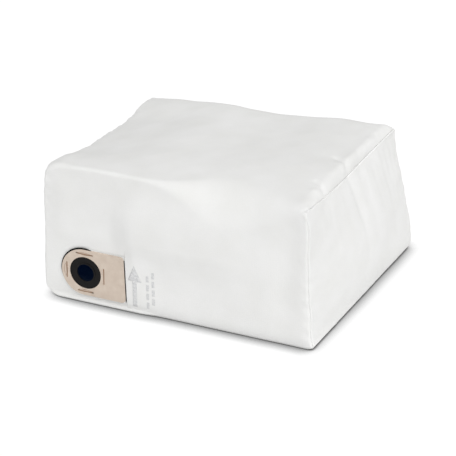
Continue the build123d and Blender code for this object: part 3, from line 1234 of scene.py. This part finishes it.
@dataclass
class InletFlange:
    """Board, rubber, patch and glue of the inlet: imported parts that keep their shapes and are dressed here."""
    bore: tuple                      # x and z of the inlet's axis, in metres
    edge: float = 0.35               # width of the eased edges of the board
    edge_angle: float = 50.0         # edges sharper than this are eased, in degrees
    weld: float = 0.005              # points closer than this are joined first
    shade_rim_heights: tuple = (17.0, 95.0)
    shade_rim_depth: float = 0.5          # the strip of painted shade lies this far behind the board's face
    shade_rim_thickness: float = 1.9
    shade_rim_reach: tuple = (0.02, 0.6)  # where the strip starts and ends, outward from the board's end

    def dress(self, node: str, finish: bpy.types.Material, eased: bool = False) -> None:
        """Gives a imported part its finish, and eases its cut edges where they show.

        Args:
            node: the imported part.
            finish: its material.
            eased: whether its edges show.
        """
        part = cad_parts[node]
        if not part.material_slots:
            part.data.materials.append(finish)
        for slot in part.material_slots:
            slot.material = finish
        if eased:
            weld = part.modifiers.new("weld", "WELD")
            weld.merge_threshold = self.weld * MM
            bevel = part.modifiers.new("eased_edge", "BEVEL")
            bevel.width = self.edge * MM
            bevel.segments = 2
            bevel.limit_method = "ANGLE"
            bevel.angle_limit = math.radians(self.edge_angle)
            bevel.harden_normals = False
        log.info("%s: dressed as %s", node, finish.name)

    def build_shade_rim(self, face: float, rubber: bpy.types.Material) -> bpy.types.Object:
        """Builds a dark strip of the rubber along the board's cut end: painted shade, a thin dark line where the
        gap beside the end is in shade.

        Args:
            face: Y of the board's face, in metres.
            rubber: the strip's material.

        Returns:
            The piece.
        """
        # painted shade: a strip of black rubber laid where the gap beside the board's cut end is only in shade
        across, z = np.meshgrid(np.linspace(*self.shade_rim_reach, 3), np.linspace(*self.shade_rim_heights, 14),
                                indexing="ij")
        y = np.full(z.shape, face / MM + self.shade_rim_depth)
        points = np.stack([board_end(z) + across, y, z], -1) * MM
        piece = make_piece("shade_rim", points, grid_faces(*z.shape))
        thicken(piece, self.shade_rim_thickness)
        finish_piece(piece, rubber)
        return piece

    def build(self, patch: bpy.types.Material) -> None:
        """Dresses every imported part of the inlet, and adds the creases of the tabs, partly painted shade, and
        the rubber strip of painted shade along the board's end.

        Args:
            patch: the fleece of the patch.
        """
        # partly painted shade: the brown of the creases and of the tabs is the board's cut edge, darkened as
        # painted shade of the slits that they sit in
        cut = Kraft(name="kraft_board_cut_edge_and_shade", low="#A08068", high="#B0917A", fleck="#7F624D").make()
        # painted shade: a dark brown for the ends of the slits, where they gape
        nick = Kraft(name="kraft_board_in_shade", low="#57473A", high="#6B594A", fleck="#3B2F26").make()
        board, rubber, glue = Kraft().make(), Rubber().make(), HotMelt().make()
        creases = TabCreases(self.bore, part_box("flange_plate")[0][1])
        creases.build("tab_creases", creases.creases, cut)
        creases.build("tab_nicks", creases.nicks, nick)
        self.build_shade_rim(creases.face, rubber)
        self.dress("flange_plate", board, eased=True)
        for node, finish in (("flange_retainer", cut), ("seal_membrane", rubber), ("inlet_patch", patch),
                             ("outer_glue_ring", glue), ("inner_glue_ring", glue)):
            self.dress(node, finish)


@dataclass
class FilterBag:
    """The whole bag: the wrap, its two ends, the printed mark and the inlet."""
    shape: BagShape = field(default_factory=BagShape)
    left_pillow: float = 7.0         # how far the air pushes each end out
    right_pillow: float = 24.0
    flat_wrap: tuple = (0.505, 1.40)         # sizes that the cloth is cut to, in metres
    flat_end: tuple = (0.45, 0.25)

    def build(self) -> None:
        """Builds every piece, and lists the cloth pieces with the sizes that they were cut to."""
        fleece, welded = Fleece().make(), Fleece(name="ultrasonically_welded_fleece", welded=True).make()
        linings = [(ply, ply.finish.make()) for ply in PLIES]
        low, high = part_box("outer_glue_ring")
        bore = ((low[0] + high[0]) / 2, (low[2] + high[2]) / 2)
        wrap = Wrap(WrapGrid(self.shape), bore)
        sheets = [(wrap.build(fleece), self.flat_wrap)]
        sheets += [(wrap.build_lining(ply, finish), self.flat_wrap) for ply, finish in linings]
        wrap.build_lap(welded)
        for end, pillow in ((End.LEFT, self.left_pillow), (End.RIGHT, self.right_pillow)):
            panel = EndPanel(WrapGrid(self.shape), end, pillow)
            sheets.append((panel.build(fleece), self.flat_end))
            sheets += [(panel.build_lining(ply, finish), self.flat_end) for ply, finish in linings]
            panel.build_allowance(welded)
        FlowMark(self.shape).build(Ink().make())
        InletFlange(bore).build(fleece)


# ---------------------------------------------------------------- the studio

@dataclass
class Studio:
    """A pale seamless floor, soft light from all round, a broad key high on the right and two low strips."""
    sky: float = 0.26
    key: float = 2.36
    key_way: tuple = (0.232, -0.228, 0.585)  # direction from the bag to the key
    key_width: float = 60.0          # the key's angle, in degrees
    strips: tuple = (                # name, middle, direction from the bag, and length in metres
        ("front_strip", (0.0, -0.37, 0.02), (0.0, -1.0, 0.0), 0.56),
        ("right_strip", (0.4, 0.0, 0.02), (1.0, 0.0, 0.0), 0.48),
    )
    strip_width: float = 0.03
    strip_power: float = 0.055       # watts for each metre
    target: tuple = (0.0929, -0.220, 0.196)
    azimuth: float = 24.81
    elevation: float = 25.817
    distance: float = 3.959
    lens: float = 189.47
    sensor: float = 36.0
    floor_half: float = 9.0          # half the floor's width, in metres
    floor_gap: float = 0.0004        # the floor lies this far under the base
    floor_lines: int = 19

    def build_floor(self) -> None:
        """Lays the paper: one wide, coarsely divided sheet just under the base."""
        line = np.linspace(-self.floor_half, self.floor_half, self.floor_lines)
        x, y = np.meshgrid(line, line, indexing="ij")
        floor = make_piece("floor", np.stack([x, y, 0 * x - self.floor_gap], -1), grid_faces(*x.shape))
        floor.data.materials.append(Paper().make())

    def build_light(self) -> None:
        """Sets the sky, the key light and the strips."""
        world = bpy.data.worlds.new("studio")
        world.use_nodes = True
        sky = world.node_tree.nodes["Background"].inputs
        sky["Color"].default_value, sky["Strength"].default_value = linear("#FFFFFF"), self.sky
        bpy.context.scene.world = world
        lamp = bpy.data.lights.new("key", "SUN")
        lamp.energy, lamp.angle = self.key, math.radians(self.key_width)
        key = bpy.data.objects.new("key", lamp)
        key.rotation_euler = Vector(self.key_way).to_track_quat("Z", "Y").to_euler()
        bpy.context.scene.collection.objects.link(key)
        for strip in self.strips:
            self.build_strip(*strip)

    def build_strip(self, name: str, place: tuple, away: tuple, length: float) -> None:
        """Lays a long low strip light by the floor, which fills the foot of a wall where the paper is in shade.

        Args:
            name: the light's name.
            place: its middle.
            away: direction from the bag to the light.
            length: its length, in metres.
        """
        lamp = bpy.data.lights.new(name, "AREA")
        lamp.shape, lamp.size, lamp.size_y = "RECTANGLE", length, self.strip_width
        lamp.energy = self.strip_power * length
        strip = bpy.data.objects.new(name, lamp)
        strip.location = place
        strip.rotation_euler = Vector(away).to_track_quat("Z", "Y").to_euler()
        strip.visible_camera = False
        bpy.context.scene.collection.objects.link(strip)

    def build_camera(self) -> None:
        """Sets the camera on a sphere round its target, level and looking at it."""
        az, el = math.radians(self.azimuth), math.radians(self.elevation)
        back = Vector((math.sin(az) * math.cos(el), -math.cos(az) * math.cos(el), math.sin(el)))
        lens = bpy.data.cameras.new("camera")
        lens.lens, lens.sensor_width = self.lens, self.sensor
        camera = bpy.data.objects.new("camera", lens)
        camera.location = Vector(self.target) + back * self.distance
        camera.rotation_euler = back.to_track_quat("Z", "Y").to_euler()
        bpy.context.scene.collection.objects.link(camera)
        bpy.context.scene.camera = camera

    def build(self) -> None:
        """Builds floor, light and camera, and picks a plain colour transform."""
        self.build_floor()
        self.build_light()
        self.build_camera()
        bpy.context.scene.view_settings.view_transform = "Standard"


def main() -> None:
    """Builds the studio and the bag."""
    logging.basicConfig(level=logging.INFO, format="%(name)s: %(message)s")
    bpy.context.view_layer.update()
    Studio().build()
    FilterBag().build()


if __name__ == "__main__":
    main()
